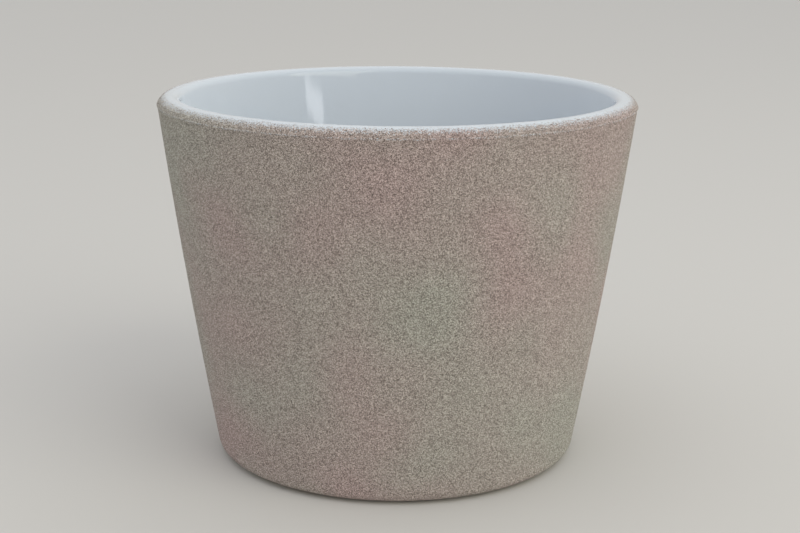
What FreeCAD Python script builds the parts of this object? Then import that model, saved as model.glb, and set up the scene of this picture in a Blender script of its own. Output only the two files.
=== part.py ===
import FreeCAD, Part
import math
import os

# A round tapered cachepot, drawn as one section and turned about the Z axis.
# The pot stands on the plane z = 0. Lengths are millimetres and angles degrees.
# Outer sizes are finished ones, over the glaze inside and the grit coat outside.

rim_diameter = 130.0          # the widest place, at the ridge below the lip
height = 100.0
foot_diameter = 99.6          # where the curve of the wall would meet the ground
wall_bow = 0.6                # how far the wall swells out of a straight cone
lip_thickness = 6.2
base_thickness = 7.4          # of the wall at floor level, where the plain inside cone ends
floor_thickness = 6.2
inside_corner_radius = 8.0    # between the wall and the floor

# The two fired and sprayed skins
glaze_thickness = 0.45
coat_thickness = 0.45

# The lip: its height and its roundings are shares of its thickness
lip_drop_share = 0.395        # from the crown down to the ridge
shoulder_radius_share = 0.6   # outer rounding
inner_radius_share = 0.37     # inner rounding
ridge_flare = 0.18            # how far the ridge stands out of the wall's curve
ridge_flare_height = 1.2      # the height over which the wall turns out to it
seam_angle = 40.0             # on the outer rounding, above level: coat below, glaze above

# The foot
foot_rounding = 3.5           # at the edge of the base
foot_ring_height = 0.6        # how far the edge of the base stays off the ground
foot_ring_inset = 2.5         # from the end of the rounding to the ring
foot_ring_width = 4.0         # the flat ring that the pot stands on
foot_recess = 1.5             # how far the underside inside the ring lies above the ground
coat_end_angle = 70.0         # on the foot's rounding, below level: bare clay below it

rim_radius = rim_diameter / 2
ridge_level = height - lip_drop_share * lip_thickness
floor_level = foot_recess + floor_thickness
shoulder_radius = shoulder_radius_share * lip_thickness
inner_radius = inner_radius_share * lip_thickness


def place(r, z):
    """A point of the section, r from the axis and z above the ground."""
    return FreeCAD.Vector(r, 0, z)


def reach(distance, angle):
    """The step of that length in the section, at an angle above level."""
    turn = math.radians(angle)
    return place(distance * math.cos(turn), distance * math.sin(turn))


def line(start, end):
    return Part.LineSegment(start, end).toShape()


def arc(centre, radius, start_angle, end_angle):
    """The arc about a centre, from one angle above level to another."""
    angles = (start_angle, (start_angle + end_angle) / 2, end_angle)
    start, middle, end = [centre + reach(radius, angle) for angle in angles]
    return Part.Arc(start, middle, end).toShape()


# The wall's outer face is one arc. Its chord runs from the ground to the ridge,
# and the arc stands wall_bow outside the chord at half height.
chord_low = place(foot_diameter / 2, 0)
chord_high = place(rim_radius - ridge_flare, ridge_level)
chord = chord_high - chord_low
wall_radius = ((chord.Length / 2) ** 2 + wall_bow ** 2) / (2 * wall_bow)
chord_angle = math.degrees(math.atan2(chord.z, chord.x))
wall_centre = (chord_low + chord_high) / 2 - reach(wall_radius - wall_bow, chord_angle - 90)


def wall_point(inset, z):
    """The point at level z that lies a given distance inside the wall's outer face."""
    run = math.sqrt((wall_radius - inset) ** 2 - (z - wall_centre.z) ** 2)
    return place(wall_centre.x + run, z)


def wall_angle(point):
    """The angle above level of the wall's outward direction through a point."""
    away = point - wall_centre
    return math.degrees(math.atan2(away.z, away.x))


# The wall's inner face is a plain cone between the two thicknesses
inside_low = wall_point(base_thickness, floor_level)
inside_slope = wall_point(lip_thickness, height) - inside_low
inside_angle = math.degrees(math.atan2(inside_slope.z, inside_slope.x))


def inside_point(depth, z):
    """The point at level z that lies a given distance out of the inner face, into the hollow."""
    run = (z - inside_low.z) * inside_slope.x / inside_slope.z
    return place(inside_low.x + run - depth / math.sin(math.radians(inside_angle)), z)


foot_centre = wall_point(foot_rounding, foot_ring_height + foot_rounding)
inner_lip_centre = inside_point(-inner_radius, height - inner_radius)
corner_centre = inside_point(inside_corner_radius, floor_level + inside_corner_radius)


def bare_edges():
    """Underside: the recess, the flat ring, the step up and the first of the foot's rounding."""
    inner_edge = foot_recess / 2
    outer_edge = foot_ring_height / 2
    step_centre = place(foot_centre.x - foot_ring_inset, outer_edge)
    ring_outside = step_centre - place(2 * outer_edge, 0)
    ring_inside = place(ring_outside.x - foot_ring_width, inner_edge)
    recess_centre = ring_inside - place(2 * inner_edge, 0)
    return [
        line(place(0, foot_recess), recess_centre + place(0, inner_edge)),
        arc(recess_centre, inner_edge, 90, 0),
        arc(ring_inside, inner_edge, 180, 270),
        line(place(ring_inside.x, 0), place(ring_outside.x, 0)),
        arc(ring_outside, outer_edge, -90, 0),
        arc(step_centre, outer_edge, 180, 90),
        line(place(step_centre.x, foot_ring_height), place(foot_centre.x, foot_ring_height)),
        arc(foot_centre, foot_rounding, -90, -coat_end_angle),
    ]


def flare_edge(start):
    """The hollow arc that leaves the wall smoothly at start and ends on the ridge."""
    step = place(rim_radius, ridge_level) - start
    outward = wall_angle(start)
    turn = outward + 90 - math.degrees(math.atan2(step.z, step.x))
    radius = step.Length / (2 * math.sin(math.radians(turn)))
    centre = start + reach(radius, outward)
    return arc(centre, radius, outward + 180, outward + 180 - 2 * turn)


def shoulder():
    """The centre of the lip's outer rounding, and the angle at which the ridge lies on it."""
    ridge_rise = ridge_level - (height - shoulder_radius)
    run = math.sqrt(shoulder_radius ** 2 - ridge_rise ** 2)
    centre = place(rim_radius - run, height - shoulder_radius)
    return centre, math.degrees(math.asin(ridge_rise / shoulder_radius))


def coated_edges():
    """Outside: the foot's rounding, the wall, the flare, and the shoulder up to the seam."""
    flare_start = wall_point(0, ridge_level - ridge_flare_height)
    shoulder_centre, ridge_angle = shoulder()
    return [
        arc(foot_centre, foot_rounding, -coat_end_angle, wall_angle(foot_centre)),
        arc(wall_centre, wall_radius, wall_angle(foot_centre), wall_angle(flare_start)),
        flare_edge(flare_start),
        arc(shoulder_centre, shoulder_radius, ridge_angle, seam_angle),
    ]


def glazed_edges():
    """From the seam over the crown, down the inside wall and across the floor."""
    shoulder_centre = shoulder()[0]
    wall_top = inner_lip_centre + reach(inner_radius, inside_angle + 90)
    wall_foot = corner_centre + reach(inside_corner_radius, inside_angle - 90)
    return [
        arc(shoulder_centre, shoulder_radius, seam_angle, 90),
        line(place(shoulder_centre.x, height), place(inner_lip_centre.x, height)),
        arc(inner_lip_centre, inner_radius, 90, inside_angle + 90),
        line(wall_top, wall_foot),
        arc(corner_centre, inside_corner_radius, inside_angle - 90, -90),
        line(place(corner_centre.x, floor_level), place(0, floor_level)),
    ]


def skin_section(edges, thickness):
    """The band of that thickness under a stretch of the outline, square at both ends."""
    return Part.Wire(edges).makeOffset2D(thickness, join=2, fill=True, openResult=True)


def turned(section):
    """The section turned once about the pot's axis."""
    return section.revolve(place(0, 0), place(0, 1), 360)


def inner_glaze():
    """Glossy white lining, from the shoulder of the lip to the floor."""
    return turned(skin_section(glazed_edges(), glaze_thickness))


def outer_coat():
    """Grit coat, from the foot's rounding to the shoulder, with the ridge below the lip."""
    return turned(skin_section(coated_edges(), coat_thickness))


def stoneware_body():
    """Fired clay under both skins, bare only at the foot and underneath."""
    axis_edge = line(place(0, floor_level), place(0, foot_recess))
    outline = Part.Wire(bare_edges() + coated_edges() + glazed_edges() + [axis_edge])
    skins = [
        skin_section(glazed_edges(), glaze_thickness),
        skin_section(coated_edges(), coat_thickness),
    ]
    return turned(Part.Face(outline).cut(skins).Faces[0])


os.makedirs("parts", exist_ok=True)
for make in (stoneware_body, inner_glaze, outer_coat):
    make().exportStep("parts/" + make.__name__ + ".step")
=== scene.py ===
import itertools
import math

import bpy
import numpy as np
from mathutils import Matrix, Vector


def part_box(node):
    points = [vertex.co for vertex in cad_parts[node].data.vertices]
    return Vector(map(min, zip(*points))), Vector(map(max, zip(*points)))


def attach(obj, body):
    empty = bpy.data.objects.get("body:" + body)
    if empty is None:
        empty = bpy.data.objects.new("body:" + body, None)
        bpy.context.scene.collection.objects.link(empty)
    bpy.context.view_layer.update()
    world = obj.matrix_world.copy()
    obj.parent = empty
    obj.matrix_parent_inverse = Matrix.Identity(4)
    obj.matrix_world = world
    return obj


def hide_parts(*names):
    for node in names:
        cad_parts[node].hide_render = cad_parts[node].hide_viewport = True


# A round tapered cachepot: white gloss glaze inside, sprayed sandy coat outside.
# Lengths are metres, and MM turns a size in millimetres into them. Angles are degrees.
MM = 0.001

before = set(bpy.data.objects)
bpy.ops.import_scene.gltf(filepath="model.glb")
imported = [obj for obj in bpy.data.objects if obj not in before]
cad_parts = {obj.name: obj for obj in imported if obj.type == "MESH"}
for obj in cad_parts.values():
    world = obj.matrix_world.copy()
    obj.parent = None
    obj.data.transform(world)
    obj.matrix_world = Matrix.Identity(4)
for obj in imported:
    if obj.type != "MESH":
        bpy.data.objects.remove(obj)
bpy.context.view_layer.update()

# The outline of the finished pot, the same section that its solids are turned from
RIM_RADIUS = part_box("outer_coat")[1].x
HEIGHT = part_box("inner_glaze")[1].z
FOOT_RADIUS = 49.8 * MM              # where the curve of the wall would meet the ground
WALL_BOW = 0.6 * MM                  # how far the wall swells out of a straight cone
LIP_THICKNESS = 6.2 * MM
BASE_THICKNESS = 7.4 * MM            # of the wall at floor level
FLOOR_LEVEL = 7.7 * MM
INSIDE_CORNER_RADIUS = 8.0 * MM
SKIN_THICKNESS = 0.45 * MM           # of the glaze and of the coat
RIDGE_DROP = 2.449 * MM              # from the crown of the lip down to the ridge
SHOULDER_RADIUS = 3.72 * MM          # outer rounding of the lip
INNER_LIP_RADIUS = 2.294 * MM
RIDGE_FLARE = 0.18 * MM
RIDGE_FLARE_HEIGHT = 1.2 * MM
FOOT_ROUNDING = 3.5 * MM
FOOT_RING_HEIGHT = 0.6 * MM          # how far the edge of the base stays off the ground
SEAM_ANGLE = 40.0                    # on the shoulder, above level
COAT_END_ANGLE = 70.0                # on the foot's rounding, below level

# The sprayed coat
COAT_COLUMNS = 600
COAT_ROW = 0.8 * MM                  # between the rows of its mesh
HIDDEN_ROW_STEP = 16                 # the hidden side of a skin has one row in so many
SPRAY_WAVE = 3.0 * MM                # the shortest swells of the sprayed layer
SPRAY_DEPTH = 0.06 * MM              # from the top of a swell to the bottom of a hollow
SPRAY_SEED = 3
END_FADE_POWER = 0.25                # the lower, the shorter is the fade of swells at an end
GRAIN_SIZE = 0.17 * MM               # fine sand
GRAIN_RELIEF = 0.09 * MM
CLOUD_SIZE = 35.0 * MM               # faint clouds of pinker and greener sand
CLOUD_DETAIL = 1.0                   # finer octaves of noise laid over them
CLOUD_STRENGTH_SHARE = 1.0           # how far the clouds tint the sand
FULL_SPRAY_ANGLE = 30.0              # on the shoulder: below it grains cover everything
CLEAN_GLAZE_ANGLE = 84.0             # and above it there are none
RIDGE_HIGHLIGHT_SHARE = 0.2               # of the grains taken off the ridge's sharp edge, so that the pale glaze there makes a painted highlight line

# Coarse grains standing in the coat
COARSE_GRAINS = 5000
COARSE_SMALLEST = 0.09 * MM          # radius
COARSE_LARGEST = 0.2 * MM
COARSE_SUNK_SHARE = 0.35             # of its radius that a grain's middle lies under the surface
COARSE_STRETCH_SHARE = 0.7           # the shortest that a grain is in one direction
COARSE_DENT_SHARE = 0.8              # the deepest that one corner is pulled in
LIP_GRAINS = 1500
LIP_GRAIN_LOW_ANGLE = 30.0
LIP_GRAIN_HIGH_ANGLE = 72.0
GRIT_SEED = 8

# The glaze
GLAZE_COLUMNS = 360
GLAZE_ROW = 1.0 * MM
GLAZE_WAVE = 14.0 * MM               # the slow swells of a glaze that ran before it set
GLAZE_DEPTH = 0.03 * MM
GLAZE_SEED = 5

# How rough each surface is, as shares
GLAZE_ROUGHNESS_SHARE = 0.06
SAND_ROUGHNESS_SHARE = 0.9
GRIT_ROUGHNESS_SHARE = 0.6
CLAY_ROUGHNESS_SHARE = 0.85
TABLE_ROUGHNESS_SHARE = 0.9
POROUS_SHARE = 0.8                   # how much an open, sandy surface throws light back evenly
GLAZE_IOR = 1.5
CLAY_IOR = 1.5
QUARTZ_IOR = 1.54

# Bare clay under the foot
CLAY_SPECK = 0.7 * MM
CLAY_SPECK_DETAIL = 3.0
CLAY_GRAIN = 0.35 * MM
CLAY_GRAIN_DETAIL = 2.0
CLAY_RELIEF = 0.03 * MM

# Colours
SAND_DARK = "#5b524b"
SAND_MIDDLE = "#9c928b"
SAND_LIGHT = "#d8cec7"
GRIT_DARK = "#4b443d"
GRIT_LIGHT = "#d8d0c6"
GLAZE_WHITE = "#ccd2d8"
CLAY_CREAM = "#ded4c2"
CLAY_DARK = "#b8ab94"
CLOUD_PINK = "#fff2f3"
CLOUD_GREEN = "#f6fff8"
TABLE = "#c7c4bf"
BACKDROP = "#c6c4c1"

# Where each colour lies on the way from the darkest to the lightest of a pattern
SAND_SHARES = ((0, SAND_DARK), (0.5, SAND_MIDDLE), (1, SAND_LIGHT))
CLOUD_SHARES = ((0.3, CLOUD_PINK), (0.7, CLOUD_GREEN))
GRIT_SHARES = ((0, GRIT_DARK), (0.3, SAND_MIDDLE), (0.7, SAND_MIDDLE), (1, GRIT_LIGHT))
CLAY_SHARES = ((0.3, CLAY_DARK), (0.5, CLAY_CREAM))

# The mesh
TURN_STEP = 6.0                      # the most that a rounding turns between two rows
TRUE_EDGE_ANGLE = 15.0               # edges sharper than this stay sharp

# The studio
LAMP_DISTANCE = 1300 * MM
KEY_COLOUR = "#fffdec"
OVERHEAD_COLOUR = "#e0e4ff"
WINDOW_COLOUR = "#f8fbff"
AMBIENT_COLOUR = "#fbfdff"
AMBIENT_RADIANCE = 0.92
BACKDROP_RADIANCE = 1.0

# Each lamp: its name, its azimuth to the right of the camera, its elevation, width, height,
# radiance and colour. The window's panes and the fanlight above it are what the inside wall
# mirrors as its highlight, and panes laid over each other give the highlight soft sides.
LAMPS = (
    ("key", 45.0, 36.0, 1000 * MM, 1000 * MM, 1.75, KEY_COLOUR),
    ("overhead", 0.0, 65.0, 800 * MM, 800 * MM, 0.5, OVERHEAD_COLOUR),
    ("upper_pane", 50.6, 11.5, 170 * MM, 34 * MM, 4.0, WINDOW_COLOUR),
    ("upper_pane", 50.6, 11.5, 230 * MM, 34 * MM, 4.0, WINDOW_COLOUR),
    ("lower_pane", 48.7, 6.2, 90 * MM, 210 * MM, 2.8, WINDOW_COLOUR),
    ("lower_pane", 48.7, 6.2, 140 * MM, 210 * MM, 2.8, WINDOW_COLOUR),
    ("fanlight", 54.3, 16.2, 85 * MM, 175 * MM, 2.1, WINDOW_COLOUR),
)
TABLE_REACH = 4000 * MM              # from the pot to each edge of the table
TABLE_DROP = 0.02 * MM               # a hair under the foot ring, so that the two faces stay apart

# The camera, aimed near the middle of the pot
SHOT_WIDTH = 800                     # pixels
FOCAL_PIXELS = 1531.3
SENSOR_WIDTH = 36.0                  # millimetres, as lenses are stated
SHOT_DISTANCE = 429.25 * MM
SHOT_ELEVATION = 14.14
SHOT_PAN = -0.129
SHOT_TILT = 0.134
SHOT_ROLL = -0.367


def linear(hex_colour):
    """An sRGB hex value as a linear colour with an alpha of one."""
    parts = np.array([int(hex_colour[i:i + 2], 16) for i in (1, 3, 5)]) / 255
    low = parts / 12.92
    high = ((parts + 0.055) / 1.055) ** 2.4
    return (*np.where(parts <= 0.04045, low, high).tolist(), 1.0)


def polar(radius, angle):
    """Steps of that length at angles above level, as rows of r and z."""
    turn = np.radians(angle)
    return np.stack([radius * np.cos(turn), radius * np.sin(turn)], axis=-1)


def angle_about(centre, points):
    """The angle above level from a centre to each point."""
    away = points - centre
    return np.degrees(np.arctan2(away[..., 1], away[..., 0]))


def arc(centre, radius, start_angle, end_angle, spacing):
    """Points on a circle from one angle to another, in steps no longer than the spacing
    and no wider than TURN_STEP."""
    turn = abs(end_angle - start_angle)
    steps = math.ceil(max(math.radians(turn) * radius / spacing, turn / TURN_STEP))
    return centre + polar(radius, np.linspace(start_angle, end_angle, steps + 1))


def line(start, end, spacing):
    """Points on a straight line in steps no longer than the spacing."""
    steps = math.ceil(math.dist(start, end) / spacing)
    return np.linspace(start, end, steps + 1)


def joined(stretches):
    """One path from stretches that each start where the one before ends."""
    return np.vstack([stretches[0]] + [stretch[1:] for stretch in stretches[1:]])


# The wall's outer circle stands on the chord from the ground to the ridge
RIDGE_LEVEL = HEIGHT - RIDGE_DROP
CHORD_LOW = np.array([FOOT_RADIUS, 0])
CHORD_HIGH = np.array([RIM_RADIUS - RIDGE_FLARE, RIDGE_LEVEL])
HALF_CHORD = math.dist(CHORD_LOW, CHORD_HIGH) / 2
WALL_RADIUS = (HALF_CHORD ** 2 + WALL_BOW ** 2) / (2 * WALL_BOW)
CHORD_ANGLE = angle_about(CHORD_LOW, CHORD_HIGH)
WALL_CENTRE = (CHORD_LOW + CHORD_HIGH) / 2 - polar(WALL_RADIUS - WALL_BOW, CHORD_ANGLE - 90)


def wall_point(inset, z):
    """The point at level z that lies a given distance inside the wall's outer face."""
    run = math.sqrt((WALL_RADIUS - inset) ** 2 - (z - WALL_CENTRE[1]) ** 2)
    return np.array([WALL_CENTRE[0] + run, z])


# The wall's inner face is a plain cone between the two thicknesses
INSIDE_LOW = wall_point(BASE_THICKNESS, FLOOR_LEVEL)
INSIDE_HIGH = wall_point(LIP_THICKNESS, HEIGHT)
INSIDE_ANGLE = angle_about(INSIDE_LOW, INSIDE_HIGH)


def inside_point(depth, z):
    """The point at level z that lies a given distance out of the inner face, into the hollow."""
    turn = math.radians(INSIDE_ANGLE)
    return np.array([INSIDE_LOW[0] + (z - INSIDE_LOW[1]) / math.tan(turn) - depth / math.sin(turn), z])


FOOT_CENTRE = wall_point(FOOT_ROUNDING, FOOT_RING_HEIGHT + FOOT_ROUNDING)
INNER_LIP_CENTRE = inside_point(-INNER_LIP_RADIUS, HEIGHT - INNER_LIP_RADIUS)
CORNER_CENTRE = inside_point(INSIDE_CORNER_RADIUS, FLOOR_LEVEL + INSIDE_CORNER_RADIUS)
RIDGE_RISE = RIDGE_LEVEL - (HEIGHT - SHOULDER_RADIUS)
SHOULDER_RUN = math.sqrt(SHOULDER_RADIUS ** 2 - RIDGE_RISE ** 2)
SHOULDER_CENTRE = np.array([RIM_RADIUS - SHOULDER_RUN, HEIGHT - SHOULDER_RADIUS])


def coat_path():
    """Up the outside: the foot's rounding, the bowed wall, the flare and the shoulder."""
    foot_angle = angle_about(WALL_CENTRE, FOOT_CENTRE)
    flare_start = wall_point(0, RIDGE_LEVEL - RIDGE_FLARE_HEIGHT)
    flare_angle = angle_about(WALL_CENTRE, flare_start)
    ridge = np.array([RIM_RADIUS, RIDGE_LEVEL])
    turn = flare_angle + 90 - angle_about(flare_start, ridge)
    flare_radius = math.dist(flare_start, ridge) / (2 * math.sin(math.radians(turn)))
    flare_centre = flare_start + polar(flare_radius, flare_angle)
    ridge_angle = angle_about(SHOULDER_CENTRE, ridge)
    return joined([
        arc(FOOT_CENTRE, FOOT_ROUNDING, -COAT_END_ANGLE, foot_angle, COAT_ROW),
        arc(WALL_CENTRE, WALL_RADIUS, foot_angle, flare_angle, COAT_ROW),
        arc(flare_centre, flare_radius, flare_angle + 180, flare_angle + 180 - 2 * turn, COAT_ROW),
        arc(SHOULDER_CENTRE, SHOULDER_RADIUS, ridge_angle, SEAM_ANGLE, COAT_ROW),
    ])


def glaze_path():
    """From the seam over the crown, down the inside wall and across the floor to the axis."""
    crown_outside = SHOULDER_CENTRE + polar(SHOULDER_RADIUS, 90)
    crown_inside = INNER_LIP_CENTRE + polar(INNER_LIP_RADIUS, 90)
    wall_top = INNER_LIP_CENTRE + polar(INNER_LIP_RADIUS, INSIDE_ANGLE + 90)
    wall_foot = CORNER_CENTRE + polar(INSIDE_CORNER_RADIUS, INSIDE_ANGLE - 90)
    floor_edge = CORNER_CENTRE + polar(INSIDE_CORNER_RADIUS, -90)
    return joined([
        arc(SHOULDER_CENTRE, SHOULDER_RADIUS, SEAM_ANGLE, 90, GLAZE_ROW),
        line(crown_outside, crown_inside, GLAZE_ROW),
        arc(INNER_LIP_CENTRE, INNER_LIP_RADIUS, 90, INSIDE_ANGLE + 90, GLAZE_ROW),
        line(wall_top, wall_foot, GLAZE_ROW),
        arc(CORNER_CENTRE, INSIDE_CORNER_RADIUS, INSIDE_ANGLE - 90, -90, GLAZE_ROW),
        line(floor_edge, np.array([0, FLOOR_LEVEL]), GLAZE_ROW),
    ])


def outward(path):
    """Unit directions square to a path, on the right of the way it runs: out of its skin."""
    along = np.gradient(path, axis=0)
    along /= np.hypot(*along.T)[:, None]
    return np.stack([along[:, 1], -along[:, 0]], axis=-1)


def swells(columns, rows, column_wave, row_wave, seed):
    """Smooth random heights from 0 to 1 on a grid that joins up round the pot.

    White noise, each of its waves damped by a bell curve of how much shorter it is than
    the given numbers of columns and rows. The heights fall to 0 at both ends of the rows,
    by a power of a half sine wave."""
    noise = np.random.default_rng(seed).standard_normal((columns, rows))
    across = np.fft.fftfreq(columns)[:, None] * column_wave
    along = np.fft.fftfreq(rows)[None, :] * row_wave
    heights = np.fft.ifft2(np.fft.fft2(noise) * np.exp(-across ** 2 - along ** 2)).real
    heights = (heights - heights.min()) / np.ptp(heights)
    return heights * np.sin(np.linspace(0, np.pi, rows)) ** END_FADE_POWER


def turned(r, z):
    """Grid points round the Z axis: one row of r and z for each column, at equal turns from +X."""
    angle = np.arange(len(r))[:, None] * (2 * np.pi / len(r))
    return np.stack([r * np.cos(angle), r * np.sin(angle), z], axis=-1).reshape(-1, 3)


def ring_faces(columns, rows, closed):
    """Quads between neighbouring columns and rows, the last column joined to the first and,
    where it is closed, the last row too."""
    column = np.arange(columns)[:, None]
    row = np.arange(rows if closed else rows - 1)[None, :]
    after = (column + 1) % columns
    above = (row + 1) % rows
    corners = [column * rows + row, after * rows + row, after * rows + above, column * rows + above]
    return np.stack(corners, axis=-1).reshape(-1, 4).tolist()


def pole_faces(columns, rows):
    """Triangles from the first row to a point below the grid's own, and from the last row
    to the point after that one."""
    here = np.arange(columns) * rows
    after = np.roll(here, -1)
    first_pole = np.full(columns, columns * rows)
    low = np.stack([first_pole, after, here], axis=-1)
    high = np.stack([here + rows - 1, after + rows - 1, first_pole + 1], axis=-1)
    return np.vstack([low, high]).tolist()


def mesh_object(name, points, faces, material, shares):
    """A smooth mesh with true edges, riding on the pot. Each named array in shares holds a
    number for every point, which the material reads."""
    mesh = bpy.data.meshes.new(name)
    mesh.from_pydata(points.tolist(), [], faces)
    mesh.shade_smooth()
    mesh.set_sharp_from_angle(angle=math.radians(TRUE_EDGE_ANGLE))
    for field, numbers in shares.items():
        mesh.attributes.new(field, "FLOAT", "POINT").data.foreach_set("value", numbers)
    mesh.materials.append(material)
    made = bpy.data.objects.new(name, mesh)
    bpy.context.scene.collection.objects.link(made)
    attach(made, "root")
    return made


def spray_cover(angle):
    """The share of the surface that sprayed grains cover, from the angle on the shoulder. It
    falls slowly at first, then quickly, then slowly again."""
    share = np.clip((CLEAN_GLAZE_ANGLE - angle) / (CLEAN_GLAZE_ANGLE - FULL_SPRAY_ANGLE), 0, 1)
    return share ** 2 * (3 - 2 * share)


def skin_loop(path):
    """The rows of a skin's outside, and those of its hidden side running back, one in so many."""
    back = path - SKIN_THICKNESS * outward(path)
    kept = np.unique(np.append(np.arange(0, len(path), HIDDEN_ROW_STEP), len(path) - 1))
    return path, back[kept[::-1]]


def make_coat(material):
    """The outside path carried round the axis, its surface sunk by the sprayed swells."""
    path, back = skin_loop(coat_path())
    column_wave = SPRAY_WAVE * COAT_COLUMNS / (2 * np.pi * RIM_RADIUS)
    heights = swells(COAT_COLUMNS, len(path), column_wave, SPRAY_WAVE / COAT_ROW, SPRAY_SEED)
    sunk = SPRAY_DEPTH * heights
    front = path - sunk[:, :, None] * outward(path)
    loop = np.concatenate([front, np.broadcast_to(back, (COAT_COLUMNS, *back.shape))], axis=1)
    cover = spray_cover(angle_about(SHOULDER_CENTRE, np.vstack([path, back])))
    # The ridge row loses grains, and the glaze showing through is a painted highlight along its edge
    cover[np.argmax(path[:, 0])] -= RIDGE_HIGHLIGHT_SHARE
    made = mesh_object("sandy_coat", turned(loop[..., 0], loop[..., 1]),
                       ring_faces(COAT_COLUMNS, loop.shape[1], closed=True), material,
                       {"cover": np.tile(cover, COAT_COLUMNS)})
    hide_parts("outer_coat")


def make_glaze(material):
    """The inside path carried round the axis, its surface sunk by the slow swells of a glaze."""
    path, back = skin_loop(glaze_path())
    column_wave = GLAZE_WAVE * GLAZE_COLUMNS / (2 * np.pi * RIM_RADIUS)
    heights = swells(GLAZE_COLUMNS, len(path), column_wave, GLAZE_WAVE / GLAZE_ROW, GLAZE_SEED)
    sunk = GLAZE_DEPTH * heights
    front = path - sunk[:, :, None] * outward(path)
    back = np.broadcast_to(back, (GLAZE_COLUMNS, *back.shape))
    loop = np.concatenate([back[:, 1:], front[:, :-1]], axis=1)
    points = turned(loop[..., 0], loop[..., 1])
    poles = [[0, 0, FLOOR_LEVEL - SKIN_THICKNESS], [0, 0, FLOOR_LEVEL]]
    faces = ring_faces(GLAZE_COLUMNS, loop.shape[1], closed=False)
    faces += pole_faces(GLAZE_COLUMNS, loop.shape[1])
    cover = spray_cover(angle_about(SHOULDER_CENTRE, loop[0]))
    cover[loop[0, :, 0] < SHOULDER_CENTRE[0]] = 0
    made = mesh_object("glaze_lining", np.vstack([points, poles]), faces, material,
                       {"cover": np.append(np.tile(cover, GLAZE_COLUMNS), [0, 0])})
    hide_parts("inner_glaze")


def grain_shape():
    """The corners of an icosahedron of radius one, and its faces wound outwards."""
    golden = (1 + math.sqrt(5)) / 2
    signs = itertools.product(range(3), (-1, 1), (-golden, golden))
    corners = np.array([np.roll([0, a, b], shift) for shift, a, b in signs])
    edge = 2                         # the distance between neighbouring corners
    faces = []
    for three in itertools.combinations(range(len(corners)), 3):
        p, q, s = corners[list(three)]
        if math.isclose(max(math.dist(p, q), math.dist(q, s), math.dist(s, p)), edge):
            outer = np.dot(np.cross(q - p, s - p), p) > 0
            faces.append(three if outer else three[::-1])
    return corners / math.hypot(1, golden), np.array(faces)


def between_rows(table, rows):
    """The values of a table at row numbers that may fall between two rows."""
    whole = np.arange(len(table))
    return np.stack([np.interp(rows, whole, column) for column in table.T], axis=-1)


def grit_places(random):
    """Random places on the coat's outline and the directions out of it there, first those on
    the wall and then those round the lip."""
    path = coat_path()
    on_wall = (path[:, 1] > FOOT_CENTRE[1]) & (path[:, 1] < RIDGE_LEVEL - RIDGE_FLARE_HEIGHT)
    rows = random.uniform(0, on_wall.sum() - 1, COARSE_GRAINS)
    wall_places = between_rows(path[on_wall], rows)
    wall_ways = between_rows(outward(path)[on_wall], rows)
    lip_ways = polar(1, random.uniform(LIP_GRAIN_LOW_ANGLE, LIP_GRAIN_HIGH_ANGLE, LIP_GRAINS))
    lip_places = SHOULDER_CENTRE + SHOULDER_RADIUS * lip_ways
    return np.vstack([wall_places, lip_places]), np.vstack([wall_ways, lip_ways])


def make_grit(material):
    """Coarse grains standing in the coat, and lying on the lip where the spray ran out.

    Each is an icosahedron stretched along three random square directions, with its corners
    pulled in at random, and its middle a share of its radius under the surface."""
    random = np.random.default_rng(GRIT_SEED)
    places, ways = grit_places(random)
    count = len(places)
    radius = random.uniform(COARSE_SMALLEST, COARSE_LARGEST, count)
    middle = places - COARSE_SUNK_SHARE * radius[:, None] * ways
    angle = random.uniform(0, 2 * np.pi, count)
    out, up = middle.T
    middle = np.stack([out * np.cos(angle), out * np.sin(angle), up], axis=-1)

    corners, faces = grain_shape()
    turns = np.linalg.qr(random.standard_normal((count, 3, 3)))[0]
    turns *= np.linalg.det(turns)[:, None, None]
    stretch = random.uniform(COARSE_STRETCH_SHARE, 1, (count, 1, 3))
    dent = random.uniform(COARSE_DENT_SHARE, 1, (count, len(corners), 1))
    points = (corners * dent * stretch) @ turns * radius[:, None, None] + middle[:, None, :]
    all_faces = faces + len(corners) * np.arange(count)[:, None, None]
    tone = np.repeat(random.uniform(0, 1, count), len(corners))
    made = mesh_object("coarse_grit", points.reshape(-1, 3), all_faces.reshape(-1, 3).tolist(),
                       material, {"tone": tone})


def node(tree, kind, links=None, values=None, **settings):
    """Adds a node, sets its own fields and its inputs' values, and links outputs to its inputs."""
    made = tree.nodes.new(kind)
    for name, value in settings.items():
        setattr(made, name, value)
    for name, value in (values or {}).items():
        made.inputs[name].default_value = value
    for name, source in (links or {}).items():
        tree.links.new(source, made.inputs[name])
    return made


def ramp(tree, share, stops):
    """Colours blended along a share from 0 to 1, from pairs of a share and an sRGB hex value."""
    made = node(tree, "ShaderNodeValToRGB", {"Fac": share})
    elements = made.color_ramp.elements
    elements.remove(elements[1])
    elements[0].position = stops[0][0]
    elements[0].color = linear(stops[0][1])
    for position, colour in stops[1:]:
        elements.new(position).color = linear(colour)
    return made.outputs["Color"]


def new_material(name):
    made = bpy.data.materials.new(name)
    made.use_nodes = True
    made.node_tree.nodes.clear()
    return made, made.node_tree


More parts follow.
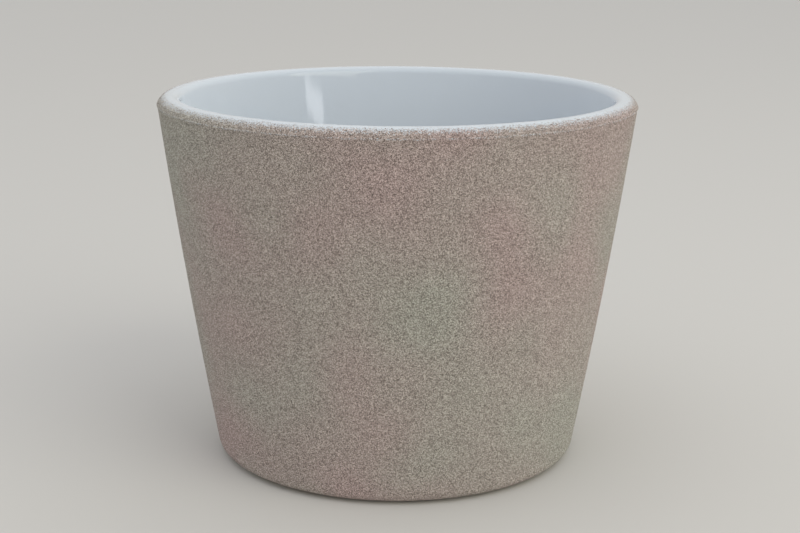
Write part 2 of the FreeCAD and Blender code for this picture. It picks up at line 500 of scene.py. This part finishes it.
def sprayed_glaze(name):
    """White gloss glaze, of which sprayed sandy paint covers the share that the mesh gives as
    cover.

    Bare glaze is smooth and mirrors lights as soft shapes. The fired paint is dry and matt,
    with light and dark grains close together. Every grain is one cell of a Voronoi pattern:
    its first random number decides whether it landed, its second how light it is, and its
    rounded top shades it."""
    made, tree = new_material(name)
    place = node(tree, "ShaderNodeTexCoord").outputs["Object"]
    cover = node(tree, "ShaderNodeAttribute", attribute_name="cover").outputs["Fac"]
    grains = node(tree, "ShaderNodeTexVoronoi", {"Vector": place}, {"Scale": 1 / GRAIN_SIZE})
    chances = node(tree, "ShaderNodeSeparateColor", {"Color": grains.outputs["Color"]})
    landed = node(tree, "ShaderNodeMath", {0: chances.outputs["Red"], 1: cover},
                  operation="LESS_THAN").outputs[0]
    sand = ramp(tree, chances.outputs["Green"], SAND_SHARES)
    clouds = node(tree, "ShaderNodeTexNoise", {"Vector": place},
                  {"Scale": 1 / CLOUD_SIZE, "Detail": CLOUD_DETAIL})
    tint = ramp(tree, clouds.outputs["Fac"], CLOUD_SHARES)
    clouded = node(tree, "ShaderNodeMix", {"A": sand, "B": tint}, {"Factor": CLOUD_STRENGTH_SHARE},
                   data_type="RGBA", blend_type="MULTIPLY")
    colour = node(tree, "ShaderNodeMix", {"Factor": landed, "B": clouded.outputs["Result"]},
                  {"A": linear(GLAZE_WHITE)}, data_type="RGBA")
    roughness = node(tree, "ShaderNodeMapRange", {"Value": landed},
                     {"To Min": GLAZE_ROUGHNESS_SHARE, "To Max": SAND_ROUGHNESS_SHARE})
    bump = node(tree, "ShaderNodeBump", {"Height": grains.outputs["Distance"], "Strength": landed},
                {"Distance": GRAIN_RELIEF}, invert=True)
    shader = node(tree, "ShaderNodeBsdfPrincipled",
                  {"Base Color": colour.outputs["Result"], "Roughness": roughness.outputs[0],
                   "Normal": bump.outputs["Normal"]},
                  {"IOR": GLAZE_IOR, "Diffuse Roughness": POROUS_SHARE})
    node(tree, "ShaderNodeOutputMaterial", {"Surface": shader.outputs[0]})
    return made


def coarse_sand():
    """Crushed quartz with darker minerals, fixed in the paint: single grains of one tone each,
    with dull broken faces that catch the light."""
    made, tree = new_material("coarse_quartz_sand")
    tone = node(tree, "ShaderNodeAttribute", attribute_name="tone").outputs["Fac"]
    colour = ramp(tree, tone, GRIT_SHARES)
    shader = node(tree, "ShaderNodeBsdfPrincipled", {"Base Color": colour},
                  {"Roughness": GRIT_ROUGHNESS_SHARE, "IOR": QUARTZ_IOR})
    node(tree, "ShaderNodeOutputMaterial", {"Surface": shader.outputs[0]})
    return made


def bare_clay():
    """Pale stoneware fired without glaze: matt, dry and finely pitted, with darker specks of
    iron."""
    made, tree = new_material("bare_fired_stoneware")
    place = node(tree, "ShaderNodeTexCoord").outputs["Object"]
    specks = node(tree, "ShaderNodeTexNoise", {"Vector": place},
                  {"Scale": 1 / CLAY_SPECK, "Detail": CLAY_SPECK_DETAIL})
    colour = ramp(tree, specks.outputs["Fac"], CLAY_SHARES)
    pores = node(tree, "ShaderNodeTexNoise", {"Vector": place},
                 {"Scale": 1 / CLAY_GRAIN, "Detail": CLAY_GRAIN_DETAIL})
    bump = node(tree, "ShaderNodeBump", {"Height": pores.outputs["Fac"]}, {"Distance": CLAY_RELIEF})
    shader = node(tree, "ShaderNodeBsdfPrincipled",
                  {"Base Color": colour, "Normal": bump.outputs["Normal"]},
                  {"Roughness": CLAY_ROUGHNESS_SHARE, "IOR": CLAY_IOR,
                   "Diffuse Roughness": POROUS_SHARE})
    node(tree, "ShaderNodeOutputMaterial", {"Surface": shader.outputs[0]})
    return made


def make_table():
    """A plain pale table top, a hair under the foot ring."""
    made, tree = new_material("plain_table")
    shader = node(tree, "ShaderNodeBsdfPrincipled", None,
                  {"Base Color": linear(TABLE), "Roughness": TABLE_ROUGHNESS_SHARE})
    node(tree, "ShaderNodeOutputMaterial", {"Surface": shader.outputs[0]})
    sides = [(-1, -1), (1, -1), (1, 1), (-1, 1)]
    mesh = bpy.data.meshes.new("table")
    corners = [(x * TABLE_REACH, y * TABLE_REACH, -TABLE_DROP) for x, y in sides]
    mesh.from_pydata(corners, [], [(0, 1, 2, 3)])
    mesh.materials.append(made)
    table = bpy.data.objects.new("table", mesh)
    bpy.context.scene.collection.objects.link(table)


def make_lamp(name, azimuth, elevation, width, height, radiance, colour):
    """An evenly bright panel that faces the pot from an azimuth, to the right of the camera,
    and an elevation."""
    panel = bpy.data.lights.new(name, "AREA")
    panel.shape = "RECTANGLE"
    panel.size = width
    panel.size_y = height
    panel.energy = radiance * math.pi * width * height
    panel.color = linear(colour)[:3]
    turn = math.radians(azimuth)
    rise = math.radians(elevation)
    back = Vector((math.sin(turn) * math.cos(rise), -math.cos(turn) * math.cos(rise), math.sin(rise)))
    made = bpy.data.objects.new(name, panel)
    made.location = Vector((0, 0, HEIGHT / 2)) + LAMP_DISTANCE * back
    made.rotation_euler = back.to_track_quat("Z", "Y").to_euler()
    bpy.context.scene.collection.objects.link(made)


def make_surroundings():
    """Even soft light from all round. What the camera and reflections see is the pale backdrop."""
    world = bpy.data.worlds.new("surroundings")
    world.use_nodes = True
    tree = world.node_tree
    tree.nodes.clear()
    rays = node(tree, "ShaderNodeLightPath").outputs
    mirrored = node(tree, "ShaderNodeMath", {0: rays["Is Glossy Ray"], 1: rays["Is Transmission Ray"]},
                    operation="MAXIMUM")
    seen = node(tree, "ShaderNodeMath", {0: rays["Is Camera Ray"], 1: mirrored.outputs[0]},
                operation="MAXIMUM")
    soft = node(tree, "ShaderNodeBackground", None,
                {"Color": linear(AMBIENT_COLOUR), "Strength": AMBIENT_RADIANCE})
    pale = node(tree, "ShaderNodeBackground", None,
                {"Color": linear(BACKDROP), "Strength": BACKDROP_RADIANCE})
    either = node(tree, "ShaderNodeMixShader",
                  {0: seen.outputs[0], 1: soft.outputs[0], 2: pale.outputs[0]})
    node(tree, "ShaderNodeOutputWorld", {"Surface": either.outputs[0]})
    bpy.context.scene.world = world


def make_camera():
    """A long lens 43 cm away, turned a little off the pot's middle and tipped to the left."""
    rise = math.radians(SHOT_ELEVATION)
    forward = Vector((0, math.cos(rise), -math.sin(rise)))
    right = Vector((1, 0, 0))
    up = right.cross(forward)
    pan = Matrix.Rotation(math.radians(SHOT_PAN), 3, up)
    tilt = Matrix.Rotation(math.radians(SHOT_TILT), 3, pan @ right)
    roll = Matrix.Rotation(math.radians(SHOT_ROLL), 3, tilt @ pan @ forward)
    level = Matrix((right, up, -forward)).transposed()
    lens = bpy.data.cameras.new("camera")
    lens.sensor_width = SENSOR_WIDTH
    lens.lens = SENSOR_WIDTH * FOCAL_PIXELS / SHOT_WIDTH
    made = bpy.data.objects.new("camera", lens)
    place = Vector((0, 0, HEIGHT / 2)) - SHOT_DISTANCE * forward
    made.matrix_world = Matrix.Translation(place) @ (roll @ tilt @ pan @ level).to_4x4()
    bpy.context.scene.collection.objects.link(made)
    bpy.context.scene.camera = made


make_coat(sprayed_glaze("sprayed_sandy_ceramic_paint"))
make_glaze(sprayed_glaze("white_gloss_glaze"))
make_grit(coarse_sand())
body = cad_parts["stoneware_body"]
body.data.materials.clear()
body.data.materials.append(bare_clay())

make_table()
for lamp in LAMPS:
    make_lamp(*lamp)
make_surroundings()
make_camera()
bpy.context.scene.view_settings.view_transform = "Standard"
